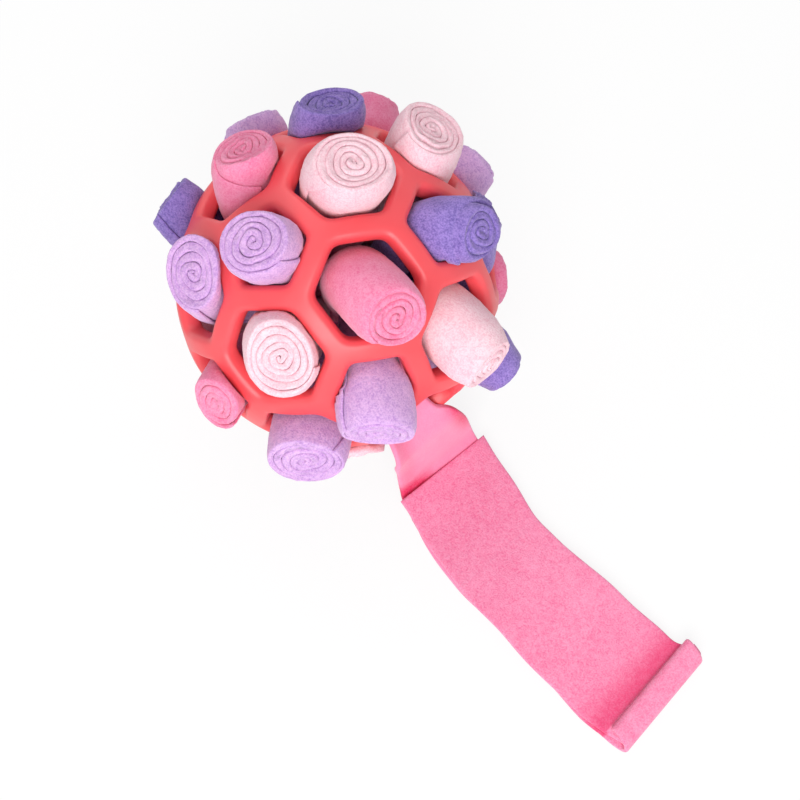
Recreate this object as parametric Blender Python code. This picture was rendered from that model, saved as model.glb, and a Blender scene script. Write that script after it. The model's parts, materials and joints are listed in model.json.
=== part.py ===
"""A dog snuffle ball: a moulded rubber ball of ribs with fleece strips sewn together at its core.

Each strip is rolled up and pushed through its own hole, thirty-one of them wound into rolls that
stand out of the ball. The last strip is pulled out of its hole and lies open on the table.
Lengths are in metres, +Z is up and the open strip runs along +X.
"""

import math
from collections import namedtuple

import bmesh
import bpy
import numpy as np
from mathutils import Euler, Matrix, Vector
from mathutils.geometry import interpolate_bezier

MM = 0.001

# Rubber ball
BALL_R = 75.0 * MM
BALL_WALL = 9.0 * MM
RIB_WIDTH = 11.5 * MM
RIM_ROUND = 3.0 * MM
INNER_ROUND = 1.5 * MM
CORNER_ROUND = 10.0 * MM
STAND_OFF = 9.0 * MM
BALL_TURN_DEG = (-20.0, -20.0, -146.0)
RIB_POINT_SHARE = 0.22

# Sewn core
CORE_R = 20.0 * MM

# Fleece
PLY = 3.0 * MM
SEAT_GAP = 0.3 * MM
FLAT_DEPTH = 0.5 * MM

# Rolls: the radius in a six-sided and in a five-sided hole, and where a roll begins to lean
HEX_ROLL_R = 18.0 * MM
PENT_ROLL_R = 15.5 * MM
ROLL_R = {6: HEX_ROLL_R, 5: PENT_ROLL_R}
CONE_SHARE = {6: 0.34, 5: 0.275}
NECK_R = 4.0 * MM
THROAT_AT = 44.0 * MM
LEAN_AT = 58.0 * MM
ROLL_OUT = 31.0 * MM
ROLL_PULL = 10.0 * MM
RIM_GAP = 0.35 * MM
NARROWING_SHARE = 0.01
SHOULDER = 3.0 * MM
END_ROUND = 1.0 * MM
HOLE_PASS_SHARE = 0.38
BULGE_SHARE = 0.72
SET_BACK_SHARE = 0.3
LAP = 1.2 * MM
SIDES = 12
GROOVE_WIDTH = 1.0 * MM
GROOVE_DEPTH = 1.6 * MM
GROOVE_TURNS = 2.0
GROOVE_STEPS = 6
GROOVE_OUT_SHARE = 0.8
GROOVE_IN_SHARE = 0.2
OVERRUN = 5.0 * MM

# Open strip
TAIL_WIDTH = 50.0 * MM
THROAT_WIDTH = 26.0 * MM
TAIL_ROOT_WIDTH = 7.0 * MM
TAIL_CUP = 8.5 * MM
RIM_LIFT = 2.5 * MM
TOP_WIDTH = 56.0 * MM
UNDER_WIDTH = 51.0 * MM
LANDING = 2.0 * MM
NEAR_LENGTH = 95.0 * MM
FAR_LENGTH = 43.0 * MM
BOW = 6.0 * MM
STRIP_SHIFT = -4.5 * MM
END_SHIFT = 7.0 * MM
CURL_WIDTH = 14.5 * MM
CURL_HEIGHT = 10.4 * MM
CURL_GAP = 0.7 * MM
JOINT_GAP = 0.3 * MM
STEPS_ALONG = 7

COLOURS = {
    "rubber": (0.92, 0.08, 0.10),
    "pale_pink": (0.97, 0.67, 0.74),
    "pink": (0.97, 0.27, 0.46),
    "lilac": (0.69, 0.39, 0.78),
    "purple": (0.27, 0.14, 0.56),
}

Roll = namedtuple("Roll", "colour toward aside reach girth end tilt tilt_to")
OPEN = None
# One row for each hole, ring by ring from the hole nearest the eye: the roll's colour, the side in
# degrees that it leans to, and as shares how far it leans, its reach, its girth and its end's girth,
# then how many degrees its end tilts and to which side
ROLL_SHARES = (
    Roll("pink", 148, 0.5, 1.03, 0.86, 0.86, 21, 146),
    Roll("lilac", 179, 0.1, 1.0, 1.05, 0.9, 6, 179),
    Roll("lilac", -12, 0.4, 1.02, 1.08, 0.9, 30, -24),
    Roll("purple", -75, 0.42, 1.0, 1.03, 0.85, 27, -130),
    Roll("pale_pink", 179, 0.31, 0.75, 1.03, 0.88, 11, 179),
    Roll("pale_pink", -52, 0.44, 1.04, 0.93, 0.8, 32, -52),
    Roll("pale_pink", -173, 0.29, 1.01, 1.05, 0.86, 8, -173),
    Roll("lilac", -160, 0.65, 0.99, 0.86, 0.98, 32, 174),
    Roll("lilac", -165, 0.28, 1.0, 0.98, 0.95, 22, 175),
    OPEN,
    Roll("purple", 90, 0.6, 0.66, 0.92, 0.8, 25, 90),
    Roll("pale_pink", 160, 0.32, 0.97, 1.0, 0.9, 26, 175),
    Roll("pink", -140, 0.46, 0.96, 0.9, 0.9, 17, -125),
    Roll("pink", 168, 0.5, 0.92, 0.86, 0.97, 22, 175),
    Roll("purple", -60, 0.3, 1.0, 1.05, 0.75, 20, -60),
    Roll("purple", -165, 0.42, 0.98, 1.03, 0.9, 22, 175),
    Roll("purple", -120, 0.3, 0.95, 1.0, 0.9, 15, -120),
    Roll("pale_pink", -175, 0.4, 0.72, 0.95, 0.85, 15, -175),
    Roll("lilac", 160, 0.3, 1.08, 1.0, 0.8, 14, 160),
    Roll("pale_pink", 0, 0.0, 0.42, 0.95, 0.85, 0, 0),
    Roll("purple", 0, 0.0, 0.42, 0.95, 0.85, 0, 0),
    Roll("lilac", 0, 0.0, 0.65, 0.95, 0.85, 0, 0),
    Roll("pink", 162, 0.45, 0.85, 0.95, 0.85, 17, 162),
    Roll("pink", 177, 0.3, 1.12, 0.98, 0.75, 11, 177),
    Roll("lilac", -152, 0.4, 1.0, 0.95, 0.85, 15, -152),
    Roll("pink", 0, 0.0, 0.9, 0.95, 0.85, 0, 0),
    Roll("purple", 0, 0.0, 0.9, 0.95, 0.85, 0, 0),
    Roll("pale_pink", 0, 0.0, 0.9, 0.95, 0.85, 0, 0),
    Roll("lilac", 0, 0.0, 0.9, 0.95, 0.85, 0, 0),
    Roll("pink", 0, 0.0, 0.9, 0.95, 0.85, 0, 0),
    Roll("pale_pink", 0, 0.0, 0.9, 0.95, 0.85, 0, 0),
    Roll("purple", 0, 0.0, 0.9, 0.95, 0.85, 0, 0),
)
OPEN_HOLE = ROLL_SHARES.index(OPEN)
STANDING_ROLLS = (26, 29, 31)

BALL_Z = BALL_R + STAND_OFF
BALL_IN_R = BALL_R - BALL_WALL
BALL_MATRIX = Matrix.Translation((0.0, 0.0, BALL_Z)) @ Euler(
    [math.radians(angle) for angle in BALL_TURN_DEG]
).to_matrix().to_4x4()

Cell = namedtuple("Cell", "sides normal corners")


# The pattern of holes


def direction(polar, azimuth):
    return Vector(
        (
            math.sin(polar) * math.cos(azimuth),
            math.sin(polar) * math.sin(azimuth),
            math.cos(polar),
        )
    )


def pentagon_directions():
    """The twelve five-sided holes' centres, with a six-sided hole on the pole."""
    golden = (1.0 + math.sqrt(5.0)) / 2.0
    near = math.atan(2.0 / golden**2)
    far = math.atan(2.0 * golden**2)
    rings = ((near, 0.0), (far, 60.0), (math.pi - far, 0.0), (math.pi - near, 60.0))
    return [
        direction(polar, math.radians(start + 120.0 * step))
        for polar, start in rings
        for step in range(3)
    ]


def ordered_round(points, normal):
    """Corners put in order, anticlockwise as seen from outside."""
    first = (points[0] - normal * points[0].dot(normal)).normalized()
    second = normal.cross(first)
    return sorted(points, key=lambda p: math.atan2(p.dot(second), p.dot(first)))


def ring_order(cell):
    """Holes sort by their ring round the pole, then round the ring."""
    polar = math.degrees(math.acos(max(-1.0, min(1.0, cell.normal.z))))
    azimuth = math.degrees(math.atan2(cell.normal.y, cell.normal.x))
    return round(polar), round(azimuth) % 360


def ball_cells():
    """The 12 five-sided and 20 six-sided holes of a ball whose ribs all have one length."""
    poles = pentagon_directions()
    reach = min((poles[0] - other).length for other in poles[1:]) * 1.01
    near = {
        (i, j)
        for i, p in enumerate(poles)
        for j, q in enumerate(poles)
        if i != j and (p - q).length < reach
    }

    def corner(i, j):
        return (2.0 * poles[i] + poles[j]).normalized()

    cells = []
    for i, pole in enumerate(poles):
        corners = [corner(i, j) for j in range(len(poles)) if (i, j) in near]
        cells.append(Cell(5, pole, ordered_round(corners, pole)))
        for j in range(i + 1, len(poles)):
            for k in range(j + 1, len(poles)):
                if {(i, j), (j, k), (i, k)} <= near:
                    trio = (i, j, k)
                    normal = (pole + poles[j] + poles[k]).normalized()
                    corners = [corner(a, b) for a in trio for b in trio if a != b]
                    cells.append(Cell(6, normal, ordered_round(corners, normal)))
    return sorted(cells, key=ring_order)


def face_of(cell, radius):
    """A cell's flat face on a ball of this radius: its centre height and the middle of a side."""
    height = radius * cell.corners[0].dot(cell.normal)
    corner = math.sqrt(radius**2 - height**2)
    return height, corner * math.cos(math.pi / cell.sides)


def hole_slope(cell, inset):
    """How wide the hole is, this far in from the middle of its ribs, for each unit of height."""
    height, apothem = face_of(cell, BALL_R)
    return (apothem - inset) / height


def frame_of(cell):
    """The roll's own frame in the ball: Z out through the hole, X towards the far pole."""
    normal = cell.normal
    pole = Vector((0.0, 0.0, 1.0))
    across = pole.cross(normal)
    if across.length < 1e-6:
        across = Vector((0.0, 1.0, 0.0))
    across.normalize()
    return Matrix((across.cross(normal), across, normal)).transposed()


# Objects


def make_material(name):
    made = bpy.data.materials.new(name)
    made.use_nodes = True
    shader = made.node_tree.nodes["Principled BSDF"]
    shader.inputs["Base Color"].default_value = (*COLOURS[name], 1.0)
    shader.inputs["Roughness"].default_value = 0.45 if name == "rubber" else 0.95
    shader.inputs["Metallic"].default_value = 0.0
    return made


def make_object(name, bm, colour, parent):
    bmesh.ops.recalc_face_normals(bm, faces=bm.faces)
    mesh = bpy.data.meshes.new(name)
    bm.to_mesh(mesh)
    bm.free()
    mesh.shade_smooth()
    mesh.set_sharp_from_angle(angle=math.radians(40.0))
    made = bpy.data.objects.new(name, mesh)
    made.data.materials.append(bpy.data.materials[colour])
    made.parent = parent
    bpy.context.scene.collection.objects.link(made)
    return made


def skin_rings(bm, rings, closed_ends=True):
    """Quads between rings of points, and a flat cap at each end."""
    made = [[bm.verts.new(point) for point in ring] for ring in rings]
    for lower, upper in zip(made, made[1:]):
        for k in range(len(lower)):
            after = (k + 1) % len(lower)
            bm.faces.new((lower[k], lower[after], upper[after], upper[k]))
    if closed_ends:
        bm.faces.new(list(reversed(made[0])))
        bm.faces.new(made[-1])
    return made


def extrude_outline(bm, outline, offset):
    """A closed outline pushed along an offset into a solid."""
    face = bm.faces.new([bm.verts.new(point) for point in outline])
    grown = bmesh.ops.extrude_face_region(bm, geom=[face])
    moved = [item for item in grown["geom"] if isinstance(item, bmesh.types.BMVert)]
    bmesh.ops.translate(bm, verts=moved, vec=offset)


# Rubber ball and core


def rim_points(cell, inset, radius):
    """A line round one hole, this far in from the middle of its ribs, with its corners rounded."""
    height, apothem = face_of(cell, BALL_R)
    scale = (apothem - inset) / apothem
    centre = cell.normal * height
    pull = CORNER_ROUND * (1.0 / math.cos(math.pi / cell.sides) - 1.0) if inset else 0.0
    flat = [centre + (corner * BALL_R - centre) * scale for corner in cell.corners]
    points = []
    for k, corner in enumerate(flat):
        after = flat[(k + 1) % cell.sides]
        points.append(corner - (corner - centre).normalized() * pull)
        points.append(corner.lerp(after, RIB_POINT_SHARE))
        points.append(corner.lerp(after, 1.0 - RIB_POINT_SHARE))
    return [point.normalized() * radius for point in points]


def rubber_ball(cells, parent):
    profile = (
        (0.0, BALL_R),
        (RIB_WIDTH / 2.0 - RIM_ROUND, BALL_R),
        (RIB_WIDTH / 2.0, BALL_R - RIM_ROUND),
        (RIB_WIDTH / 2.0 - INNER_ROUND, BALL_IN_R),
        (0.0, BALL_IN_R),
    )
    bm = bmesh.new()
    for cell in cells:
        rings = [rim_points(cell, inset, radius) for inset, radius in profile]
        skin_rings(bm, rings, closed_ends=False)
    bmesh.ops.remove_doubles(bm, verts=bm.verts, dist=SEAT_GAP / 10.0)
    return make_object("rubber_ball", bm, "rubber", parent)


def sewn_core(cells, parent):
    """The knot where all the strips are sewn together, with a flat seat for each."""
    bm = bmesh.new()
    for cell in cells:
        bm.faces.new([bm.verts.new(corner * CORE_R) for corner in cell.corners])
    bmesh.ops.remove_doubles(bm, verts=bm.verts, dist=SEAT_GAP / 10.0)
    return make_object("sewn_core", bm, "pink", parent)


# Rolls


def circle_frame(axis):
    side = Vector((0.0, 1.0, 0.0)).cross(axis).normalized()
    return side, axis.cross(side)


def clear_of_rim(points, cell):
    """Which points miss the rim of the hole, with the roll in place and as it is pulled out."""
    inner = hole_slope(cell, RIB_WIDTH / 2.0 - INNER_ROUND)
    outer = hole_slope(cell, RIB_WIDTH / 2.0)
    clear = np.ones(points.shape[:-1], dtype=bool)
    for pull in np.linspace(0.0, ROLL_PULL, 6):
        x, y, z = np.moveaxis(points, -1, 0)
        z = z + pull
        far = np.sqrt(x * x + y * y + z * z)
        in_rim = (far > BALL_IN_R - RIM_GAP) & (far < BALL_R + RIM_GAP)
        slope = np.interp(far, (BALL_IN_R, BALL_R - RIM_ROUND), (inner, outer))
        clear &= ~(in_rim & (np.hypot(x, y) > z * slope - RIM_GAP))
    return clear


def narrowed(plan, cell):
    """The sections made narrower where the skin between them would cut the rim of the hole."""
    angles = [math.tau * k / SIDES for k in range(SIDES)]
    centres = np.array([centre for centre, _, _ in plan])[:, None]
    radii = np.array([radius for _, _, radius in plan])
    turns = []
    for _, axis, _ in plan:
        side, up = circle_frame(axis)
        turns.append([side * math.cos(angle) + up * math.sin(angle) for angle in angles])
    turns = np.array(turns)
    tight = True
    while tight:
        tight = False
        rings = centres + turns * radii[:, None, None]
        for share in np.linspace(0.0, 1.0, 7):
            between = rings[:-1] * (1.0 - share) + rings[1:] * share
            cut = ~clear_of_rim(between, cell).all(axis=1)
            radii[:-1] *= 1.0 - NARROWING_SHARE * (1.0 - share) * cut
            radii[1:] *= 1.0 - NARROWING_SHARE * share * cut
            tight = tight or cut.any()
    return [(centre, axis, radius) for (centre, axis, _), radius in zip(plan, radii)]


def roll_sections(cell, roll, more_reach):
    """Centre, axis and radius of each section of a roll, in its own frame."""
    girth = ROLL_R[cell.sides] * roll.girth
    cone = CONE_SHARE[cell.sides]
    core_face, _ = face_of(cell, CORE_R)
    out = Vector((0.0, 0.0, 1.0))
    way = direction(math.pi / 2.0, math.radians(roll.toward))
    aside = ROLL_OUT * roll.aside
    reach = ROLL_OUT * roll.reach + more_reach
    root = out * LEAN_AT - way * aside * SET_BACK_SHARE
    end = out * (LEAN_AT + reach * math.sqrt(1.0 - roll.aside**2)) + way * aside
    tilt = math.radians(roll.tilt)
    axis = out * math.cos(tilt) + direction(math.pi / 2.0, math.radians(roll.tilt_to)) * math.sin(tilt)
    shoulder = 1.0 - SHOULDER / reach
    root_r = min(girth, LEAN_AT * cone - aside * SET_BACK_SHARE)
    plan = [
        (out * (core_face + SEAT_GAP), out, NECK_R),
        (out * THROAT_AT, out, min(girth, THROAT_AT * cone)),
        (root, out, root_r),
        (root.lerp(end, HOLE_PASS_SHARE), axis, girth),
        (root.lerp(end, BULGE_SHARE), axis, girth),
        (root.lerp(end, shoulder), axis, girth * (roll.end + 1.0) / 2.0),
        (end, axis, girth * roll.end - END_ROUND),
    ]
    return narrowed(plan, cell)


def section_points(centre, axis, radius, seam):
    """One turn of the wound fleece: round, with a step where the outer ply ends."""
    side, up = circle_frame(axis)
    lap = min(LAP, radius / 4.0)
    points = []
    for k in range(SIDES + 1):
        share = k / SIDES
        angle = math.tau * share + seam
        length = radius - lap * share
        points.append(centre + (side * math.cos(angle) + up * math.sin(angle)) * length)
    return points


def groove_outline(centre, axis, radius, seam):
    """The line between the plies that shows as a spiral on the end of a roll."""
    side, up = circle_frame(axis)
    count = round(GROOVE_TURNS * GROOVE_STEPS)
    outer, inner = [], []
    for k in range(count + 1):
        share = k / count
        angle = seam + math.tau * GROOVE_TURNS * share
        middle = radius * (GROOVE_OUT_SHARE + (GROOVE_IN_SHARE - GROOVE_OUT_SHARE) * share)
        way = side * math.cos(angle) + up * math.sin(angle)
        outer.append(centre + way * (middle + GROOVE_WIDTH / 2.0))
        inner.append(centre + way * (middle - GROOVE_WIDTH / 2.0))
    return outer + inner[::-1]


def lowest_point(rings, placed):
    return min((placed @ point).z for ring in rings for point in ring)


def fleece_roll(index, cell, roll, parent):
    placed = frame_of(cell).to_4x4()
    seam = math.radians(137.5 * index)
    world = BALL_MATRIX @ placed
    more = 0.0
    if index in STANDING_ROLLS:
        rings = [section_points(*s, seam) for s in roll_sections(cell, roll, more)]
        down = -(world.to_3x3() @ Vector((0.0, 0.0, 1.0))).z
        more = (lowest_point(rings, world) + FLAT_DEPTH) / down
    sections = roll_sections(cell, roll, more)
    bm = bmesh.new()
    skin_rings(bm, [section_points(*section, seam) for section in sections])
    if index in STANDING_ROLLS:
        cut_at_table(bm, world)
    name = f"roll_{index:02d}_{roll.colour}"
    made = make_object(name, bm, roll.colour, parent)
    made.matrix_local = placed
    add_groove(made, sections[-1], seam)
    return made


def cut_at_table(bm, world):
    """A flat where the ball's weight presses the roll on the table."""
    inverse = world.inverted()
    foot = inverse @ Vector((0.0, 0.0, 0.0))
    down = inverse.to_3x3() @ Vector((0.0, 0.0, -1.0))
    cut = bmesh.ops.bisect_plane(
        bm,
        geom=bm.verts[:] + bm.edges[:] + bm.faces[:],
        plane_co=foot,
        plane_no=down,
        clear_outer=True,
    )
    edges = [item for item in cut["geom_cut"] if isinstance(item, bmesh.types.BMEdge)]
    bmesh.ops.edgeloop_fill(bm, edges=edges)


def add_groove(roll, end, seam):
    centre, axis, radius = end
    bm = bmesh.new()
    outline = groove_outline(centre - axis * GROOVE_DEPTH, axis, radius, seam)
    extrude_outline(bm, outline, axis * (GROOVE_DEPTH + OVERRUN))
    cutter = make_object(roll.name + "_groove_cutter", bm, "pink", roll)
    cutter.hide_render = True
    cutter.display_type = "WIRE"
    cut = roll.modifiers.new("groove", "BOOLEAN")
    cut.operation = "DIFFERENCE"
    cut.solver = "EXACT"
    cut.object = cutter


# Open strip


def curve_through(points, handle_share, count):
    """Points along a smooth curve through the named places."""
    found = []
    for k in range(len(points) - 1):
        before = points[max(k - 1, 0)]
        after = points[min(k + 2, len(points) - 1)]
        start, end = points[k], points[k + 1]
        reach = (end - start).length * handle_share
        first = start + (end - before).normalized() * reach
        second = end - (after - start).normalized() * reach
        piece = interpolate_bezier(start, first, second, end, count + 1)
        found += piece if not found else piece[1:]
    return found


def rim_low_corner(cell):
    """The direction of the lowest corner of the open hole, just inside its ribs."""
    corners = rim_points(cell, RIB_WIDTH / 2.0, BALL_R)[::3]
    turned = [BALL_MATRIX.to_3x3() @ corner for corner in corners]
    return min(turned, key=lambda corner: corner.z).normalized()


def tail_path(cell):
    """Where the open strip runs: from the core over the rim of its hole and down to the table."""
    centre = Vector((0.0, 0.0, BALL_Z))
    turned = BALL_MATRIX.to_3x3() @ cell.normal
    core_face, _ = face_of(cell, CORE_R)
    seat = centre + turned * (core_face + SEAT_GAP)
    rim = rim_low_corner(cell)
    over = Vector((0.0, 0.0, PLY / 2.0 + RIM_LIFT))
    crest = centre + rim * BALL_R + over
    fall = crest.x + PLY * 2.0
    foot = PLY / 2.0
    return [
        seat,
        seat + turned * CORE_R,
        centre + rim * (BALL_IN_R - PLY) + over,
        crest,
        Vector((fall, STRIP_SHIFT, crest.z - PLY * 3.0)),
        Vector((fall + PLY * 0.6, STRIP_SHIFT, crest.z / 2.0)),
        Vector((fall + PLY * 2.0, STRIP_SHIFT, foot + PLY)),
        Vector((fall + PLY * 3.5, STRIP_SHIFT, foot)),
        Vector((fall + PLY * 3.5 + LANDING, STRIP_SHIFT, foot)),
    ]


def strip_start(cell):
    return tail_path(cell)[-1].x + JOINT_GAP


def tail_width(share):
    """The strip is gathered at the core and in the hole, and opens to its own width outside."""
    if share < 0.4:
        return TAIL_ROOT_WIDTH + (THROAT_WIDTH - TAIL_ROOT_WIDTH) * share / 0.4
    return THROAT_WIDTH + (TAIL_WIDTH - THROAT_WIDTH) * min(1.0, (share - 0.4) / 0.35)


def tail_cup(share):
    """How far the sides of the strip curl up where it is gathered."""
    return TAIL_CUP * max(0.0, min(1.0, share / 0.25, (0.75 - share) / 0.25))


def strip_tail(cell, parent):
    path = curve_through(tail_path(cell), 0.35, 2)
    rings = []
    for k, point in enumerate(path):
        share = k / (len(path) - 1)
        along = (path[min(k + 1, len(path) - 1)] - path[max(k - 1, 0)]).normalized()
        across = Vector((0.0, 1.0, 0.0))
        across = (across - along * along.dot(across)).normalized()
        up = along.cross(across)
        half = tail_width(share) / 2.0
        cup = tail_cup(share)
        sides = (-1.0, -0.5, 0.0, 0.5, 1.0)
        middle = [point + across * half * s + up * cup * s * s for s in sides]
        ring = [place + up * PLY / 2.0 for place in middle]
        ring += [place - up * PLY / 2.0 for place in reversed(middle)]
        rings.append([Vector((place.x, place.y, max(place.z, 0.0))) for place in ring])
    bm = bmesh.new()
    skin_rings(bm, rings)
    return make_object("strip_tail", bm, "pink", parent)


def bow_at(share):
    """The open strip lies in a slight bow on the table."""
    return STRIP_SHIFT - BOW * math.sin(math.pi * share)


def strip_piece(name, start, length, whole, width, low, parent):
    """One flat ply between two places along the open strip."""
    origin, total = whole
    left, right = [], []
    for k in range(STEPS_ALONG + 1):
        along = start + length * k / STEPS_ALONG
        middle = bow_at((along - origin) / total)
        left.append(Vector((along, middle + width / 2.0, low)))
        right.append(Vector((along, middle - width / 2.0, low)))
    bm = bmesh.new()
    extrude_outline(bm, left + right[::-1], Vector((0.0, 0.0, PLY)))
    return make_object(name, bm, "pink", parent)


def curl_path(start):
    """The rolled end's winding, seen from the side: flat, up round the end, back over and in."""
    high = CURL_HEIGHT / 2.0 - PLY / 2.0
    flat = CURL_WIDTH / 2.0 - CURL_HEIGHT / 2.0
    middle_x = start + CURL_WIDTH / 2.0
    middle_z = CURL_HEIGHT / 2.0
    points = [Vector((start, 0.0, PLY / 2.0))]
    for k in range(7):
        angle = -math.pi / 2.0 + math.pi * k / 6.0
        x = middle_x + flat + high * math.cos(angle)
        points.append(Vector((x, 0.0, middle_z + high * math.sin(angle))))
    inner_z = PLY * 1.5 + CURL_GAP
    back = (middle_z + high - inner_z) / 2.0
    for k in range(5):
        angle = math.pi / 2.0 + math.pi * k / 4.0
        x = middle_x - flat + back * math.cos(angle)
        points.append(Vector((x, 0.0, inner_z + back + back * math.sin(angle))))
    return points


def least_gap(path, thickness):
    """The least clear space between turns that lie over each other."""
    apart = [
        (p - q).length
        for i, p in enumerate(path)
        for j, q in enumerate(path)
        if j - i > 5
    ]
    return min(apart) - thickness


def rolled_end(start, parent):
    path = curve_through(curl_path(start), 0.33, 1)
    thick = PLY - CURL_GAP
    print(f"rolled end: least gap {least_gap(path, thick) / MM:.2f} mm")
    left, right = [], []
    for k, point in enumerate(path):
        along = (path[min(k + 1, len(path) - 1)] - path[max(k - 1, 0)]).normalized()
        up = Vector((-along.z, 0.0, along.x))
        left.append(point + up * thick / 2.0)
        right.append(point - up * thick / 2.0)
    bm = bmesh.new()
    side = Vector((0.0, STRIP_SHIFT + END_SHIFT - TOP_WIDTH / 2.0, (thick - PLY) / 2.0))
    outline = [point + side for point in left + right[::-1]]
    extrude_outline(bm, outline, Vector((0.0, TOP_WIDTH, 0.0)))
    return make_object("strip_rolled_end", bm, "pink", parent)


def open_strip(cell, parent):
    start = strip_start(cell)
    fold = start + NEAR_LENGTH
    end = fold + FAR_LENGTH
    whole = (start, NEAR_LENGTH + FAR_LENGTH)
    top = PLY + JOINT_GAP
    for layer, width, low in (("under", UNDER_WIDTH, 0.0), ("top", TOP_WIDTH, top)):
        length = NEAR_LENGTH - JOINT_GAP
        strip_piece(f"strip_near_{layer}", start, length, whole, width, low, parent)
        length = FAR_LENGTH - JOINT_GAP
        strip_piece(f"strip_far_{layer}", fold, length, whole, width, low, parent)
    rolled_end(end, parent)


# Whole


def make_empty(name, matrix, parent=None):
    made = bpy.data.objects.new(name, None)
    made.matrix_local = matrix
    made.parent = parent
    bpy.context.scene.collection.objects.link(made)
    return made


def centre_on_base(root):
    """Moves the whole so that the middle of its base is at the origin."""
    bpy.context.view_layer.update()
    graph = bpy.context.evaluated_depsgraph_get()
    lows, highs = [], []
    for obj in bpy.context.scene.objects:
        if obj.type != "MESH" or obj.hide_render:
            continue
        shape = obj.evaluated_get(graph)
        points = [shape.matrix_world @ vertex.co for vertex in shape.data.vertices]
        lows.append([min(p[axis] for p in points) for axis in range(3)])
        highs.append([max(p[axis] for p in points) for axis in range(3)])
    low = [min(row[axis] for row in lows) for axis in range(3)]
    high = [max(row[axis] for row in highs) for axis in range(3)]
    shift = (-(low[0] + high[0]) / 2.0, -(low[1] + high[1]) / 2.0, -low[2])
    root.location = shift
    print("ball centre at", [round(v, 5) for v in (shift[0], shift[1], shift[2] + BALL_Z)])


def main():
    for obj in list(bpy.data.objects):
        bpy.data.objects.remove(obj)
    for name in COLOURS:
        make_material(name)
    root = make_empty("snuffle_ball", Matrix.Identity(4))
    ball = make_empty("ball_turn", BALL_MATRIX, root)
    cells = ball_cells()
    rubber_ball(cells, ball)
    sewn_core(cells, ball)
    for index, (cell, roll) in enumerate(zip(cells, ROLL_SHARES)):
        if roll is not OPEN:
            fleece_roll(index, cell, roll, ball)
    strip_tail(cells[OPEN_HOLE], root)
    open_strip(cells[OPEN_HOLE], root)
    centre_on_base(root)


main()
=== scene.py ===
# %% [markdown]
# # A dog snuffle ball
# A soft rubber ball is moulded as a net of ribs round five- and six-sided holes. A strip of fleece,
# wound up like a bandage, is pushed into each hole, and one strip has been pulled out and lies open.
# The rubber is shaped from one primitive in edit mode, because its pattern is regular. The fleece
# is made as real sheets, each one wound round and round, because the eye reads the spiral of plies
# on the end of a roll at once, and a drawn line there never looks deep.

# %% Load the frame
import json
import math
from collections import namedtuple

import bmesh
import bpy
import numpy as np
from mathutils import Euler, Matrix, Vector


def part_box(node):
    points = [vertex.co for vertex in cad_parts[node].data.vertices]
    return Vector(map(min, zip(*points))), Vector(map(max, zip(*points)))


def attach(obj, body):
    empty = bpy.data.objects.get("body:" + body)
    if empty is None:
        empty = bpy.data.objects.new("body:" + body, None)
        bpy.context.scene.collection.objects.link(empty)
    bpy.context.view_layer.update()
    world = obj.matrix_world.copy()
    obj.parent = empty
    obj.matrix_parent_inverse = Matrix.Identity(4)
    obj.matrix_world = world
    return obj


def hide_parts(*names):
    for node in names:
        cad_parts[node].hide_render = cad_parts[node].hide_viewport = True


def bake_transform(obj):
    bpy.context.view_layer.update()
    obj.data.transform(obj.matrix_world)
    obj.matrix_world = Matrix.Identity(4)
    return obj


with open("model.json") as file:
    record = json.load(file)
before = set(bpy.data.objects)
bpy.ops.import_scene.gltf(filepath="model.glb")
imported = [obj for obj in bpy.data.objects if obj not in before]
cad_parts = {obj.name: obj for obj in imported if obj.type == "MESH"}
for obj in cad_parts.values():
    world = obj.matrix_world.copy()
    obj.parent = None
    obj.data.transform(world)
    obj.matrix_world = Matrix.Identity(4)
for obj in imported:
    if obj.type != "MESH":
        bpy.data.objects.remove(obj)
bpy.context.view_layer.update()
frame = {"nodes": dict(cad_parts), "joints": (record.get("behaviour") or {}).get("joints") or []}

MM = 0.001
low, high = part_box("rubber_ball")
BALL_AT = (low + high) / 2.0
print("nodes:", len(frame["nodes"]), "ball centre (mm):", [round(v / MM, 2) for v in BALL_AT])

# %% [markdown]
# ## Camera
# The picture is taken from high up, 20 degrees off the vertical, and from the side where the open
# strip runs away from the ball. A regular ball of known pattern fixes the camera: the corners of
# its holes only line up with the picture from one place, with one focal length.

# %% Camera
CAMERA_AT = BALL_AT + Vector((232.0, -160.3, 616.2)) * MM
TURN, TILT = math.radians(49.5), math.radians(70.0)
ahead = Vector((-math.sin(TURN), math.cos(TURN), 0.0))
up = Vector((0.0, 0.0, 1.0))
right = Vector((math.cos(TURN), math.sin(TURN), 0.0))
view_up = ahead * math.sin(TILT) + up * math.cos(TILT)
view_back = up * math.sin(TILT) - ahead * math.cos(TILT)
camera = bpy.data.objects.new("camera", bpy.data.cameras.new("camera"))
camera.data.lens = 65.4
camera.data.sensor_width = 36.0
turned = Matrix((right, view_up, view_back)).transposed().to_4x4()
camera.matrix_world = Matrix.Translation(CAMERA_AT) @ turned
bpy.context.scene.collection.objects.link(camera)
bpy.context.scene.camera = camera
bpy.context.scene.view_settings.view_transform = "Standard"
print("camera at (mm):", [round(v / MM) for v in CAMERA_AT])

# %% [markdown]
# ## Colours and nodes
# Colours are read off the real thing as sRGB hex values, and Blender wants them linear, so one
# function does that for every material. Another adds a node with its settings and links, because a
# material that is written out as plain nodes is easy to read and to change.

# %% Helpers for colours and nodes
def hex_colour(code):
    """An sRGB hex value as a linear colour."""
    parts = [int(code[k : k + 2], 16) / 255.0 for k in (1, 3, 5)]
    linear = [v / 12.92 if v <= 0.04045 else ((v + 0.055) / 1.055) ** 2.4 for v in parts]
    return (*linear, 1.0)


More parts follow.
